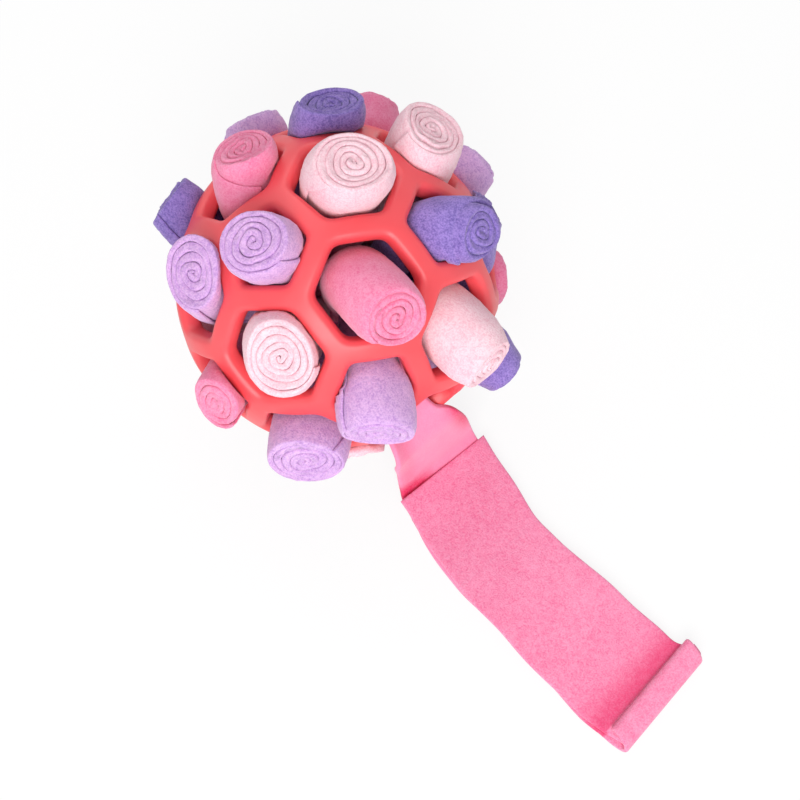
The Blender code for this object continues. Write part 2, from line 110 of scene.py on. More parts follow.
def add_node(tree, kind, inputs=None, **settings):
    """One node with its settings; an input is a value, or the socket that feeds it."""
    node = tree.nodes.new(kind)
    for name, value in settings.items():
        setattr(node, name, value)
    for name, value in (inputs or {}).items():
        if isinstance(value, bpy.types.NodeSocket):
            tree.links.new(value, node.inputs[name])
        else:
            node.inputs[name].default_value = value
    return node


def new_tree(name):
    """A material with an empty node tree and its output."""
    made = bpy.data.materials.new(name)
    made.use_nodes = True
    made.node_tree.nodes.clear()
    return made, made.node_tree, made.node_tree.nodes.new("ShaderNodeOutputMaterial")


print("a mid grey is", round(hex_colour("#808080")[0], 3))

# %% [markdown]
# ## Floor and light
# The toy lies on a white studio sweep. The floor is a plain matt white that keeps the toy's soft
# shadow, and what the camera sees of it is lifted to white through Light Path, so the lamps can
# stay at a plain level. A large soft lamp stands on the side of the open strip, and a weaker one
# fills the other side.

# %% What is seen, and what only lights the toy
SEEN_BY = ("Is Camera Ray", "Is Glossy Ray", "Is Transmission Ray")


def seen_directly(tree):
    """1 for what is looked at, also in gloss and through glass, and 0 for what lights the toy."""
    path = add_node(tree, "ShaderNodeLightPath")
    seen = path.outputs[SEEN_BY[0]]
    for ray in SEEN_BY[1:]:
        either = add_node(tree, "ShaderNodeMath", {0: seen, 1: path.outputs[ray]},
            operation="MAXIMUM")
        seen = either.outputs[0]
    return seen


print("rays that see the backdrop:", ", ".join(SEEN_BY))

# %% Floor
# A hair below the table's height, so that nothing that rests on it lies in the same plane
FLOOR_DROP = 0.2 * MM
FLOOR_LIFT = 0.86
bpy.ops.object.select_all(action="DESELECT")
bpy.ops.mesh.primitive_plane_add(size=8.0, location=(0.0, 0.0, -FLOOR_DROP))
floor = bpy.context.object
floor.name = "floor"
bpy.ops.object.transform_apply(location=True, rotation=False, scale=False)
paper, tree, out = new_tree("matt_white_paper")
share = add_node(tree, "ShaderNodeMath", {0: seen_directly(tree), 1: FLOOR_LIFT},
    operation="MULTIPLY")
matt = add_node(tree, "ShaderNodeBsdfDiffuse", {"Color": hex_colour("#F0F0F0")})
glow = add_node(tree, "ShaderNodeEmission", {"Color": hex_colour("#FFFFFF"), "Strength": 1.0})
mixed = add_node(tree, "ShaderNodeMixShader",
    {0: share.outputs[0], 1: matt.outputs[0], 2: glow.outputs[0]})
tree.links.new(mixed.outputs[0], out.inputs["Surface"])
floor.data.materials.append(paper)
print("floor made, lifted to white by", FLOOR_LIFT)

# %% World
# The backdrop is white where it is seen, and gives the toy about half of that as soft light
LIGHT_ON_TOY = 0.52
world = bpy.data.worlds.new("studio")
bpy.context.scene.world = world
world.use_nodes = True
tree = world.node_tree
tree.nodes.clear()
strength = add_node(tree, "ShaderNodeMath", {0: seen_directly(tree), 1: 1.0 - LIGHT_ON_TOY,
    2: LIGHT_ON_TOY}, operation="MULTIPLY_ADD")
back = add_node(tree, "ShaderNodeBackground",
    {"Color": hex_colour("#FFFFFF"), "Strength": strength.outputs[0]})
out = tree.nodes.new("ShaderNodeOutputWorld")
tree.links.new(back.outputs[0], out.inputs["Surface"])
print("soft light from all round:", LIGHT_ON_TOY)

# %% Lamps
def soft_lamp(name, place, aim, size, power):
    """A square soft box at a place, aimed at a point; metres and watts."""
    lamp = bpy.data.objects.new(name, bpy.data.lights.new(name, "AREA"))
    lamp.data.shape = "SQUARE"
    lamp.data.size = size
    lamp.data.energy = power
    way = Vector(aim) - Vector(place)
    lamp.matrix_world = Matrix.Translation(place) @ way.to_track_quat("-Z", "Y").to_matrix().to_4x4()
    bpy.context.scene.collection.objects.link(lamp)
    return lamp


key = soft_lamp("key", (0.57, -0.56, 0.8), aim=(-0.02, 0.0, 0.05), size=0.7, power=11.0)
fill = soft_lamp("fill", (-0.75, 0.35, 0.8), aim=(-0.05, 0.0, 0.05), size=0.9, power=3.4)
print("key lamp over fill lamp:", round(key.data.energy / fill.data.energy, 1))

# %% [markdown]
# ## Rubber
# The ball is injection-moulded soft rubber in a warm coral red. It is satin: the mould is finely
# blasted, so highlights are wide and soft, the colour hardly varies, and thin edges glow a little
# as light passes through them. Its grain could come from a picture, but noise on the piece's own
# coordinates needs no unwrapping and shows no seam.

# %% Rubber material
def moulded_rubber():
    """Soft satin rubber from a blasted mould: a hardly varied colour and wide, soft highlights."""
    made, tree, out = new_tree("moulded_soft_rubber")
    place = add_node(tree, "ShaderNodeTexCoord").outputs["Object"]
    # Colour drifts over about 25 mm, as pigment does in a moulding
    drift = add_node(tree, "ShaderNodeTexNoise", {"Vector": place, "Scale": 1.0 / (25 * MM),
        "Detail": 2.0})
    tone = add_node(tree, "ShaderNodeMix", {0: drift.outputs["Fac"],
        6: hex_colour("#E6424A"), 7: hex_colour("#F05A60")}, data_type="RGBA")
    # A blasted mould's grain is under 0.1 mm: it is drawn at 0.5 mm, so that it can show
    grain = add_node(tree, "ShaderNodeTexNoise", {"Vector": place, "Scale": 1.0 / (0.5 * MM),
        "Detail": 3.0})
    # Where the rubber cooled unevenly, gloss and surface change over about 9 mm
    flow = add_node(tree, "ShaderNodeTexNoise", {"Vector": place, "Scale": 1.0 / (9 * MM),
        "Detail": 1.0})
    rough = add_node(tree, "ShaderNodeMapRange", {"Value": flow.outputs["Fac"],
        "To Min": 0.36, "To Max": 0.46})
    fine = add_node(tree, "ShaderNodeBump", {"Height": grain.outputs["Fac"],
        "Strength": 0.12, "Distance": 0.1 * MM})
    wavy = add_node(tree, "ShaderNodeBump", {"Height": flow.outputs["Fac"],
        "Normal": fine.outputs[0], "Strength": 0.15, "Distance": 0.8 * MM})
    shader = add_node(tree, "ShaderNodeBsdfPrincipled", {"Base Color": tone.outputs[2],
        "Roughness": rough.outputs[0], "Normal": wavy.outputs[0], "IOR": 1.5,
        "Specular IOR Level": 0.5, "Subsurface Weight": 0.15,
        "Subsurface Radius": (3 * MM, 0.8 * MM, 0.6 * MM), "Subsurface Scale": 1.0})
    tree.links.new(shader.outputs[0], out.inputs["Surface"])
    return made


RUBBER = moulded_rubber()
print("material:", RUBBER.name)

# %% [markdown]
# ## The net of ribs
# The holes are the faces of the solid that a football is sewn from: 12 with five sides and 20 with
# six. It comes from an icosahedron whose corners are cut off at a third of each edge, so it starts
# as an ico sphere with its corners bevelled. Each face is then inset by half a rib and its middle
# deleted, which leaves the net. Ribs could also be swept one by one, but then every crossing of
# three would need its own joint, and here they flow into each other by themselves.

# %% Corners of an icosahedron cut off
BALL_R = 75 * MM
BALL_WALL = 9 * MM
RIB_WIDTH = 11.5 * MM
BALL_TURN = Euler([math.radians(angle) for angle in (-20.0, -20.0, -146.0)]).to_matrix()
# The cut solid's edge is 0.403548 of its radius. The whole one's edge is three times as long, and
# its radius is 0.951057 of that
ICO_R = BALL_R * 0.403548 * 3.0 * 0.951057

bpy.ops.object.select_all(action="DESELECT")
bpy.ops.mesh.primitive_ico_sphere_add(subdivisions=1, radius=ICO_R)
net = bpy.context.object
net.name = "rubber_net"
bpy.ops.object.mode_set(mode="EDIT")
bpy.ops.mesh.select_all(action="SELECT")
bpy.ops.mesh.bevel(offset_type="PERCENT", offset_pct=33.3333, affect="VERTICES")
bpy.ops.mesh.remove_doubles(threshold=0.5 * MM)
bpy.ops.object.mode_set(mode="OBJECT")
faces = net.data.polygons
print("faces with 5 sides:", sum(len(f.vertices) == 5 for f in faces),
      "and with 6:", sum(len(f.vertices) == 6 for f in faces))

# %% Turned to lie as it does in the frame
# A six-sided hole on top, one of the five-sided holes beside it to one side, and then the ball's turn
first = next(f.normal.copy() for f in faces if len(f.vertices) == 6)
beside = max((f.normal.copy() for f in faces if len(f.vertices) == 5), key=first.dot)
across = (beside - first * beside.dot(first)).normalized()
upright = Matrix((across, first.cross(across), first))
net.data.transform((BALL_TURN @ upright).to_4x4())
net.data.update()
POLE = BALL_TURN @ Vector((0.0, 0.0, 1.0))
Cell = namedtuple("Cell", "normal corners")
cells = []
for face in net.data.polygons:
    corners = [net.data.vertices[k].co.copy().normalized() for k in face.vertices]
    cells.append(Cell(sum(corners, Vector()).normalized(), corners))
print("holes:", len(cells), "rib length (mm):", round((cells[0].corners[0]
      - cells[0].corners[1]).length * BALL_R / MM, 2))

# %% The net cut out
# The flat faces lie a little inside the ball, and the ribs widen as they are moved out onto it
INSET = RIB_WIDTH / 2.0 * 0.98
bpy.ops.object.mode_set(mode="EDIT")
bpy.ops.mesh.select_all(action="SELECT")
bpy.ops.mesh.inset(thickness=INSET, use_individual=True, use_even_offset=True)
bpy.ops.mesh.delete(type="FACE")


def pick_edges(obj, wanted):
    """Selects the edges that a test is true for, in edit mode."""
    bpy.ops.mesh.select_mode(type="EDGE")
    bpy.ops.mesh.select_all(action="DESELECT")
    mesh = bmesh.from_edit_mesh(obj.data)
    found = [edge for edge in mesh.edges if wanted(edge)]
    for edge in found:
        edge.select_set(True)
    bmesh.update_edit_mesh(obj.data)
    return len(found)


# The edges along the ribs are the long ones, and need points between their ends to curve
count = pick_edges(net, lambda edge: edge.calc_length() > RIB_WIDTH)
bpy.ops.mesh.subdivide(number_cuts=3)
bpy.ops.object.mode_set(mode="OBJECT")
print("long edges divided:", count)

# %% The net rounded and given its wall
def add_and_apply(obj, kind, **settings):
    """A modifier with its settings, applied at once."""
    bpy.ops.object.select_all(action="DESELECT")
    obj.select_set(True)
    bpy.context.view_layer.objects.active = obj
    modifier = obj.modifiers.new(kind.lower(), kind)
    for name, value in settings.items():
        setattr(modifier, name, value)
    bpy.ops.object.modifier_apply(modifier=modifier.name)


add_and_apply(net, "CAST", cast_type="SPHERE", factor=1.0, use_radius_as_size=False,
    size=BALL_R)
add_and_apply(net, "SOLIDIFY", thickness=BALL_WALL, offset=-1.0)
print("faces with the wall:", len(net.data.polygons))

# %% Rims softened
OUTER_RIM, INNER_RIM = 2.5 * MM, 1.5 * MM


def on_rim(edge, distance):
    """An edge between the wall of a hole and a face of the ball, this far from the centre."""
    if not all(abs(v.co.length - distance) < 0.5 * MM for v in edge.verts):
        return False
    return any(abs(f.normal.dot(f.calc_center_median().normalized())) < 0.5
               for f in edge.link_faces)


bpy.ops.object.mode_set(mode="EDIT")
outer = pick_edges(net, lambda edge: on_rim(edge, BALL_R))
bpy.ops.mesh.bevel(offset=OUTER_RIM, segments=3, profile=0.35, affect="EDGES")
inner = pick_edges(net, lambda edge: on_rim(edge, BALL_R - BALL_WALL))
bpy.ops.mesh.bevel(offset=INNER_RIM, segments=1, affect="EDGES")
bpy.ops.object.mode_set(mode="OBJECT")
print("rim edges:", outer, inner)

# %% Ball finished
add_and_apply(net, "SUBSURF", levels=2, render_levels=2)
bpy.ops.object.shade_smooth()
net.data.transform(Matrix.Translation(BALL_AT))
net.data.materials.clear()
net.data.materials.append(RUBBER)
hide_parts("rubber_ball")
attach(net, "ball")
print("triangles in the ball:", sum(len(f.vertices) - 2 for f in net.data.polygons))

# %% [markdown]
# ## Fleece
# Polyester fleece is a knit whose loops are brushed up and shorn. Up close it is a nap of small
# tufts less than 1 mm apart, with darker pits between them, and a soft fuzz that catches the light at
# the edges. It has no gloss, so it is rough all over, with a sheen for the fuzz. The pits come from
# noise and not from cells, because no two tufts of real fleece are alike.

# %% Fleece
TUFT_SPACING = 0.8 * MM


def brushed_fleece(name, tuft, pit, painted_shade_colour=None, depth=0.45 * MM, contrast=1.0):
    """Brushed and shorn knit: the colour of its tufts, of the pits, and of painted shade on the strip.
    """
    made, tree, out = new_tree(name)
    place = add_node(tree, "ShaderNodeTexCoord").outputs["Object"]
    tufts = add_node(tree, "ShaderNodeTexNoise", {"Vector": place, "Scale": 1.0 / TUFT_SPACING,
        "Detail": 3.0, "Roughness": 0.6})
    # Tufts cling together in clumps of about 3 mm
    clumps = add_node(tree, "ShaderNodeTexNoise", {"Vector": place, "Scale": 1.0 / (3 * MM),
        "Detail": 2.0, "Distortion": 0.6})
    # Handling lays the nap one way and the other in patches of about 14 mm
    patch = add_node(tree, "ShaderNodeTexNoise", {"Vector": place, "Scale": 1.0 / (14 * MM),
        "Detail": 2.0})
    nap = add_node(tree, "ShaderNodeMath", {0: clumps.outputs["Fac"], 1: 0.4,
        2: tufts.outputs["Fac"]}, operation="MULTIPLY_ADD")
    pits = add_node(tree, "ShaderNodeMapRange", {"Value": nap.outputs[0],
        "From Min": 0.5, "From Max": 0.82, "To Min": 0.65 * contrast, "To Max": 0.0})
    worn = add_node(tree, "ShaderNodeMapRange", {"Value": patch.outputs["Fac"],
        "From Min": 0.3, "From Max": 0.7, "To Min": 0.0, "To Max": 0.2})
    both = add_node(tree, "ShaderNodeMath", {0: pits.outputs[0], 1: worn.outputs[0]},
        operation="ADD", use_clamp=True)
    tone = add_node(tree, "ShaderNodeMix", {0: both.outputs[0], 6: hex_colour(tuft),
        7: hex_colour(pit)}, data_type="RGBA")
    if painted_shade_colour is not None:
        # Painted shade: a deeper colour where shade falls on the strip, by the number on its points
        flat = add_node(tree, "ShaderNodeAttribute", attribute_name="painted_shade")
        uneven = add_node(tree, "ShaderNodeMapRange", {"Value": nap.outputs[0],
            "From Min": 0.5, "From Max": 0.9, "To Min": 1.0, "To Max": 0.7})
        much = add_node(tree, "ShaderNodeMath", {0: flat.outputs["Fac"], 1: uneven.outputs[0]},
            operation="MULTIPLY")
        tone = add_node(tree, "ShaderNodeMix", {0: much.outputs[0], 6: tone.outputs[2],
            7: hex_colour(painted_shade_colour)}, data_type="RGBA")
    raised = add_node(tree, "ShaderNodeBump", {"Height": nap.outputs[0], "Strength": 0.7,
        "Distance": depth})
    shader = add_node(tree, "ShaderNodeBsdfPrincipled", {"Base Color": tone.outputs[2],
        "Normal": raised.outputs[0], "Roughness": 0.95, "Specular IOR Level": 0.1,
        "Sheen Weight": 0.25, "Sheen Roughness": 0.5, "Subsurface Weight": 0.1,
        "Subsurface Radius": (1.5 * MM, 1.0 * MM, 1.0 * MM), "Subsurface Scale": 1.0})
    tree.links.new(shader.outputs[0], out.inputs["Surface"])
    return made


print("tufts of fleece are", TUFT_SPACING / MM, "mm apart")

# %% The four colours, and the open strip's smoother side
# A third colour, where one is given, is the painted shade for the open strip
FLEECE = {
    "pale_pink": brushed_fleece("brushed_fleece_pale_pink", "#F8D9E1", "#E8A8B9"),
    "pink": brushed_fleece("brushed_fleece_pink", "#F29BBB", "#E4628F", "#DC4876"),
    "lilac": brushed_fleece("brushed_fleece_lilac", "#DEB6E2", "#A577BD"),
    "purple": brushed_fleece("brushed_fleece_purple", "#9E86CE", "#50408D"),
}
# Its third colour is the painted shade for the open strip
SMOOTH_FLEECE = brushed_fleece("shorn_fleece_pink", "#F495B7", "#EA6C9B", "#E11E58",
    depth=0.2 * MM, contrast=0.35)
print("fleece colours:", ", ".join(FLEECE), "and", SMOOTH_FLEECE.name)

# %% [markdown]
# ## Cloth as a solid
# Each sheet starts as a grid of points on its middle. The helper moves them half a ply out on both
# sides, closes the rims, and rounds them, because a cut edge of fleece frays to a soft lip. A
# Solidify modifier would be quicker, but it gives one thickness everywhere and square edges.

# %% Thickness of a ply
PLY = 2.95 * MM
LIP = 0.9 * MM
# Grid lines close to a cut edge, in mm, where the lip curves
LIP_STEPS = np.array((0.0, 0.1, 0.4, 1.0))


def rounding(distance, thick):
    """How much of the ply is left this far in from a cut edge; a thin ply is rounded less."""
    inside = np.clip(1.0 - distance / LIP, 0.0, 1.0)
    return thick - 2.0 * LIP * (1.0 - np.sqrt(1.0 - inside**2)) * np.clip(thick / (2.2 * LIP), 0, 1)


print("ply (mm):", PLY / MM, "at its cut edge:", round(rounding(0.0, PLY) / MM, 2))

# %% A closed sheet from its middle
def both_sides(middle, thick):
    """The grid's points moved half a ply out on both sides, along its normal."""
    along = np.gradient(middle, axis=0)
    across = np.gradient(middle, axis=1)
    normal = np.cross(along, across)
    normal /= np.maximum(np.linalg.norm(normal, axis=2, keepdims=True), 1e-12)
    sides = [middle + normal * thick[..., None] / 2.0, middle - normal * thick[..., None] / 2.0]
    return np.concatenate([side.reshape(-1, 3) for side in sides])


def shade_flat_cap(solid, border):
    """Edges round an end are kept sharp, so that no dark line shows where the next length meets it."""
    for edge in solid.edges:
        if sum(v.index in border for v in edge.verts) == 2 and len(edge.link_faces) == 2:
            inside = [sum(v.index in border for v in f.verts) for f in edge.link_faces]
            if min(inside) < 4 <= max(inside):
                edge.smooth = False


def add_smooth_object(name, mesh):
    """An object of a mesh, shaded smooth, in the scene."""
    for polygon in mesh.polygons:
        polygon.use_smooth = True
    made = bpy.data.objects.new(name, mesh)
    bpy.context.scene.collection.objects.link(made)
    return made


def cloth(name, middle, thick, flat_caps=()):
    """A closed sheet on or above the table, from its middle and the thickness at each point."""
    points = both_sides(middle, thick)
    points[:, 2] = np.maximum(points[:, 2], 0.0)
    n, m = middle.shape[:2]
    top = np.arange(n * m).reshape(n, m)
    under = top + n * m
    quads = [
        np.stack([top[:-1, :-1], top[1:, :-1], top[1:, 1:], top[:-1, 1:]], -1).reshape(-1, 4),
        np.stack([under[:-1, :-1], under[:-1, 1:], under[1:, 1:], under[1:, :-1]], -1).reshape(-1, 4),
    ]
    rims = {"start": (top[0], under[0], 1), "end": (top[-1], under[-1], -1),
            "low": (top[:, 0], under[:, 0], -1), "high": (top[:, -1], under[:, -1], 1)}
    for upper, lower, way in rims.values():
        rim = np.stack([upper[:-1], upper[1:], lower[1:], lower[:-1]], -1)
        quads.append(rim if way > 0 else rim[:, ::-1])
    mesh = bpy.data.meshes.new(name)
    mesh.from_pydata(points.tolist(), [], np.concatenate(quads).tolist())
    solid = bmesh.new()
    solid.from_mesh(mesh)
    if solid.calc_volume(signed=True) < 0.0:
        bmesh.ops.reverse_faces(solid, faces=solid.faces)
    for key in flat_caps:
        shade_flat_cap(solid, set(rims[key][0].tolist()) | set(rims[key][1].tolist()))
    solid.to_mesh(mesh)
    solid.free()
    return add_smooth_object(name, mesh)


def grid_area(middle):
    """The area of a grid of points, in square metres."""
    first = middle[1:, 1:] - middle[:-1, :-1]
    second = middle[1:, :-1] - middle[:-1, 1:]
    return float(np.linalg.norm(np.cross(first, second), axis=2).sum() / 2.0)


square = np.stack([*np.meshgrid([0.0, 1.0], [0.0, 1.0], indexing="ij"), np.zeros((2, 2))], -1)
print("area of a square of 1 m:", grid_area(square))

# %% [markdown]
# ## How each roll stands
# A roll sits in its own frame: Z out through its hole, X towards the far pole of the pattern. The
# table says which way it leans and how far, how far it stands out, how fat it is, how much it
# narrows at its end, and how many degrees its end tilts and to which side. Then it says how it is
# wound: the side of its free edge, which way it turns, how oval it is and where, how far its middle
# stands out, how slanted its free edge is, how far its outer turn stops short, how long its shoulder
# is, and how creased it is. Angles are in degrees, the dome, the stop and the shoulder in mm, and the
# rest are shares. A free edge that isn't given lies where chance puts it. The last ten rolls are at
# the back and under the ball, and stand straight in their holes, three of them on the table.

# %% Table of rolls
Roll = namedtuple("Roll", "toward aside reach girth end tilt tilt_to seam spin oval oval_at dome slant"
                  " short shoulder wrinkle",
                  defaults=(None, 1, 0.05, 0.0, 0.5, 0.0, 0.0, 5.0, 1.0))
ROLLS = {
    0: Roll(148, 0.5, 1.03, 0.86, 0.86, 21, 146, 75, 1, 0.03, 40, 0.3, 0, 0, 2.5),
    1: Roll(179, 0.1, 1.0, 1.05, 0.9, 6, 179, 165, 1, 0.085, 20, 1.5, 20, 1.0, 5),
    2: Roll(-12, 0.4, 1.02, 1.08, 0.9, 30, -24, 255, -1, 0.05, 90, 0.4, 15, 0, 3),
    3: Roll(-75, 0.42, 1.0, 1.03, 0.85, 27, -130, 195, 1, 0.04, 0, 0.5, 60, 4, 4, 1.6),
    4: Roll(179, 0.31, 0.75, 1.03, 0.88, 11, 179, 128, 1, 0.09, 50, 0.5, 0, 0, 5),
    5: Roll(-52, 0.44, 1.04, 0.93, 0.8, 26, -52, 300, -1, 0.05, 45, 1.6, 0, 0, 6),
    6: Roll(-173, 0.29, 1.01, 1.05, 0.86, 8, -173, 130, 1, 0.05, 90, 0.5, -25, 0, 5),
    7: Roll(-160, 0.65, 0.99, 0.86, 0.98, 32, 174, 95, 1, 0.1, 90, 0.5, 0, 0, 2),
    8: Roll(-165, 0.28, 1.0, 0.98, 0.95, 22, 175, 145, 1, 0.05, 90, -0.5, -20, 0, 4),
    10: Roll(90, 0.6, 0.66, 0.92, 0.8, 25, 90, shoulder=9, wrinkle=2, dome=3.0),
    11: Roll(160, 0.32, 0.97, 1.0, 0.9, 26, 175, 140, -1, 0.05, 0, 0.3, 10, 0, 4),
    12: Roll(-140, 0.46, 0.96, 0.9, 0.9, 17, -125, 65, 1, 0.07, 0, 0.3, 110, 0, 3),
    13: Roll(168, 0.5, 0.92, 0.86, 0.97, 22, 175, 90, 1, 0.1, 45, 0.3, 0, 0, 2.5),
    14: Roll(-60, 0.3, 1.0, 1.05, 0.75, 20, -60, shoulder=9, dome=3.5),
    15: Roll(-165, 0.42, 0.98, 1.03, 0.9, 22, 175, 80, -1, 0.05, 90, -1.0, 50, -0.8, 4),
    16: Roll(-120, 0.3, 0.95, 1.0, 0.9, 15, -120, shoulder=6, wrinkle=4, dome=1.2),
    17: Roll(-175, 0.4, 0.72, 0.95, 0.85, 15, -175),
    18: Roll(160, 0.3, 1.08, 1.0, 0.8, 14, 160, shoulder=9, wrinkle=2, dome=3.5),
    22: Roll(162, 0.45, 0.85, 0.95, 0.85, 17, 162),
    23: Roll(177, 0.3, 1.12, 0.98, 0.75, 11, 177, shoulder=9, dome=3.5),
    24: Roll(-152, 0.4, 1.0, 0.95, 0.85, 15, -152, 65, slant=90, wrinkle=2, dome=1.5),
}
STRAIGHT_REACH = {19: 0.42, 20: 0.42, 21: 0.65, 25: 0.9, 26: 0.852, 27: 0.9, 28: 0.9, 29: 0.981,
                  30: 0.9, 31: 1.001}
ON_THE_TABLE = (26, 29, 31)
for index, reach in STRAIGHT_REACH.items():
    ROLLS[index] = Roll(0, 0.0, reach, 0.95, 0.85, 0, 0, dome=0.0 if index in ON_THE_TABLE else 0.5)
print("rolls:", len(ROLLS))

# %% Each roll's hole and frame
def node_of(index):
    """The CAD node of a roll, whose name ends with its colour."""
    return next(name for name in frame["nodes"] if name.startswith(f"roll_{index:02d}_"))


def hole_of(index):
    """The hole whose direction is that of the roll's slide."""
    joint = next(j for j in frame["joints"] if j["name"] == f"roll_{index:02d}_pull")
    return max(cells, key=lambda cell: cell.normal.dot(Vector(joint["axis"])))


def roll_frame(cell):
    """Rows: X towards the far pole, Y across, Z out through the hole."""
    across = POLE.cross(cell.normal)
    if across.length < 1e-4:
        across = BALL_TURN @ Vector((0.0, 1.0, 0.0))
    across.normalize()
    return np.array([across.cross(cell.normal), across, cell.normal])


print("roll 0 goes through", [round(v, 3) for v in hole_of(0).normal])

# %% [markdown]
# ## The line and girth of a roll
# Inside the ball a roll narrows to the knot. It fills out before its hole, leans as it leaves it,
# and its last few millimetres close in a little, because nothing holds the outer ply there. The
# line is planned as a few places with straight runs between them, and then softened, because the
# corners of a bent roll of fleece are never sharp.

# %% Sizes of a roll
# By the number of the hole's sides: the plain roll's radius, how fast it widens from the ball's
# centre outwards, and how far the knot's flat side lies out, as a share of the knot's radius
ROLL_R = {6: 18.0 * MM, 5: 15.5 * MM}
CONE = {6: 0.34, 5: 0.275}
KNOT_SIDE = {6: 0.9147, 5: 0.9393}
CORE_R = 20 * MM
# Distances from the ball's centre, where a roll starts to widen and where it starts to lean
NARROW_AT = 44 * MM
LEAN_AT = 58 * MM
ROLL_OUT = 31 * MM
FULLER = 1.02
print("a six-sided hole's roll is", 2 * ROLL_R[6] / MM, "mm thick")

# %% Lines, softened
def softened(values, width):
    """Values at even steps, smoothed, with the ends kept."""
    reach = int(3 * width)
    bell = np.exp(-0.5 * (np.arange(-reach, reach + 1) / width) ** 2)
    bell /= bell.sum()
    flat = values.reshape(len(values), -1)
    padded = np.concatenate([2 * flat[:1] - flat[reach:0:-1], flat,
                             2 * flat[-1:] - flat[-2 : -reach - 2 : -1]])
    made = np.stack([np.convolve(column, bell, "valid") for column in padded.T], -1)
    return made.reshape(values.shape)


def distances(line):
    """How far along a line each of its points lies."""
    return np.concatenate([[0.0], np.cumsum(np.linalg.norm(np.diff(line, axis=0), axis=1))])


def along_line(at, run, line):
    """Points of a line at other distances along it."""
    return np.stack([np.interp(at, run, line[:, k]) for k in range(line.shape[1])], -1)


def unit(vectors):
    """Rows, each made 1 long."""
    return vectors / np.linalg.norm(vectors, axis=1, keepdims=True)


def sideways(degrees):
    """A direction across the hole, from its angle."""
    return np.array([math.cos(math.radians(degrees)), math.sin(math.radians(degrees)), 0.0])


print("a corner, softened:", softened(np.array([0, 0, 0, 0, 1, 1, 1, 1.0]), 1).round(2))

# %% A roll's line, direction and girth
OUT = np.array([0.0, 0.0, 1.0])


def roll_plan(kind, sides):
    """Places from the knot to the roll's end, with the direction and the radius at each."""
    girth, cone = ROLL_R[sides] * kind.girth, CONE[sides]
    full = girth * FULLER
    aside, reach = ROLL_OUT * kind.aside, ROLL_OUT * kind.reach
    root = OUT * LEAN_AT - sideways(kind.toward) * aside * 0.3
    end = OUT * (LEAN_AT + reach * math.sqrt(1.0 - kind.aside**2)) + sideways(kind.toward) * aside
    tilt = math.radians(kind.tilt)
    axis = OUT * math.cos(tilt) + sideways(kind.tilt_to) * math.sin(tilt)
    shoulder = 1.0 - kind.shoulder * MM / reach
    return [(OUT * (CORE_R * KNOT_SIDE[sides] + 0.3 * MM), OUT, 4 * MM),
            (OUT * NARROW_AT, OUT, min(full, NARROW_AT * cone)),
            (root, OUT, min(full, LEAN_AT * cone - aside * 0.3 + 0.5 * MM)),
            (root + (end - root) * 0.38, axis, full),
            (root + (end - root) * min(0.72, shoulder - 0.1), axis, full),
            (root + (end - root) * shoulder, axis, full * (kind.end + 2.0) / 3.0),
            (end, axis, girth * kind.end)]


def roll_line(kind, sides):
    """The roll's centre, direction and radius at even steps from the knot to its end."""
    plan = roll_plan(kind, sides)
    places, ways, radii = (np.array([part[k] for part in plan]) for k in range(3))
    run = distances(places)
    at = np.linspace(0.0, run[-1], 240)
    step = at[1]
    line = softened(along_line(at, run, places), 2.2 * MM / step)
    turn = unit(softened(along_line(at, run, ways), 2 * MM / step))
    width = softened(np.interp(at, run, radii), 1.3 * MM / step)
    return at, line, turn, width


print("roll 0 is", round(roll_line(ROLLS[0], 6)[0][-1] / MM, 1), "mm long from the knot to its end")

# %% [markdown]
# ## Squeezed by the ribs
# Fleece gives way where it leans on rubber. Each rib lies on a plane through the ball's centre, so
# the room left beside it is easy to measure: a point of the roll is drawn towards the roll's middle
# until it clears the rib, also while the roll is pulled out. A cloth simulation could press it into
# place as well, but would take minutes for 31 rolls, where this takes a few seconds.

# %% Room between the ribs
# Distances from the ball's centre, and how far from the rib's plane the rib reaches there
RIB_ROOM = np.array([(58, -6), (64.5, 2.2), (66, 4.3), (67.5, 5.6), (72.2, 6.2), (74, 5.5),
                     (75.5, 3.5), (77.5, -0.3), (84, -15)]) * MM


def rib_planes(cell, axes):
    """Unit normals, in the roll's frame, of the planes that the hole's ribs lie on."""
    corners = [axes @ np.array(corner) for corner in cell.corners]
    found = []
    for first, second in zip(corners, corners[1:] + corners[:1]):
        plane = np.cross(first, second)
        plane /= np.linalg.norm(plane)
        found.append(plane if plane[2] > 0 else -plane)
    return found


# How far out a roll is pulled where the room is tried, and how many times a point is drawn in:
# each time by a little less than it is short, and never to less than a quarter of the radius
PULLS = (0.0, 3 * MM, 6.5 * MM, 10 * MM)
ROUNDS = 14


def squeezed(centre, way, radius, planes):
    """The radius, drawn in where a rib is in the way."""
    room = radius.copy()
    for _ in range(ROUNDS):
        worst = np.zeros_like(room)
        for pull in PULLS:
            point = centre + way * room[..., None] + OUT * pull
            far = np.linalg.norm(point, axis=-1)
            need = np.interp(far, RIB_ROOM[:, 0], RIB_ROOM[:, 1])
            for plane in planes:
                short = need - point @ plane
                worst = np.maximum(worst, np.where(short > 0, short / 1.2, 0.0))
        room = np.maximum(room - worst, radius * 0.25)
    return room


print("rib room at the outside (mm):", np.interp(72 * MM, RIB_ROOM[:, 0], RIB_ROOM[:, 1]) / MM)

# %% [markdown]
# ## Winding a roll
# The strip is wound from its inner end, which is folded tight, to its free edge, which is pressed
# thin. Every point of it is a share of the way from the roll's middle to its outside, so a dent in
# the outside presses on all the plies under it. A little seeded waviness keeps the plies from
# lying as evenly as a machine would put them. A spiral groove in a plain roll would be lighter, but
# its plies would have no gaps between them for the light to fall into.

# %% Turns of the winding
HEART = 1.0 * MM
HEART_HOLE = 0.1 * MM
PITCH = 3.08 * MM
EDGE_PRESSED = 0.62
TIP = LIP_STEPS * MM


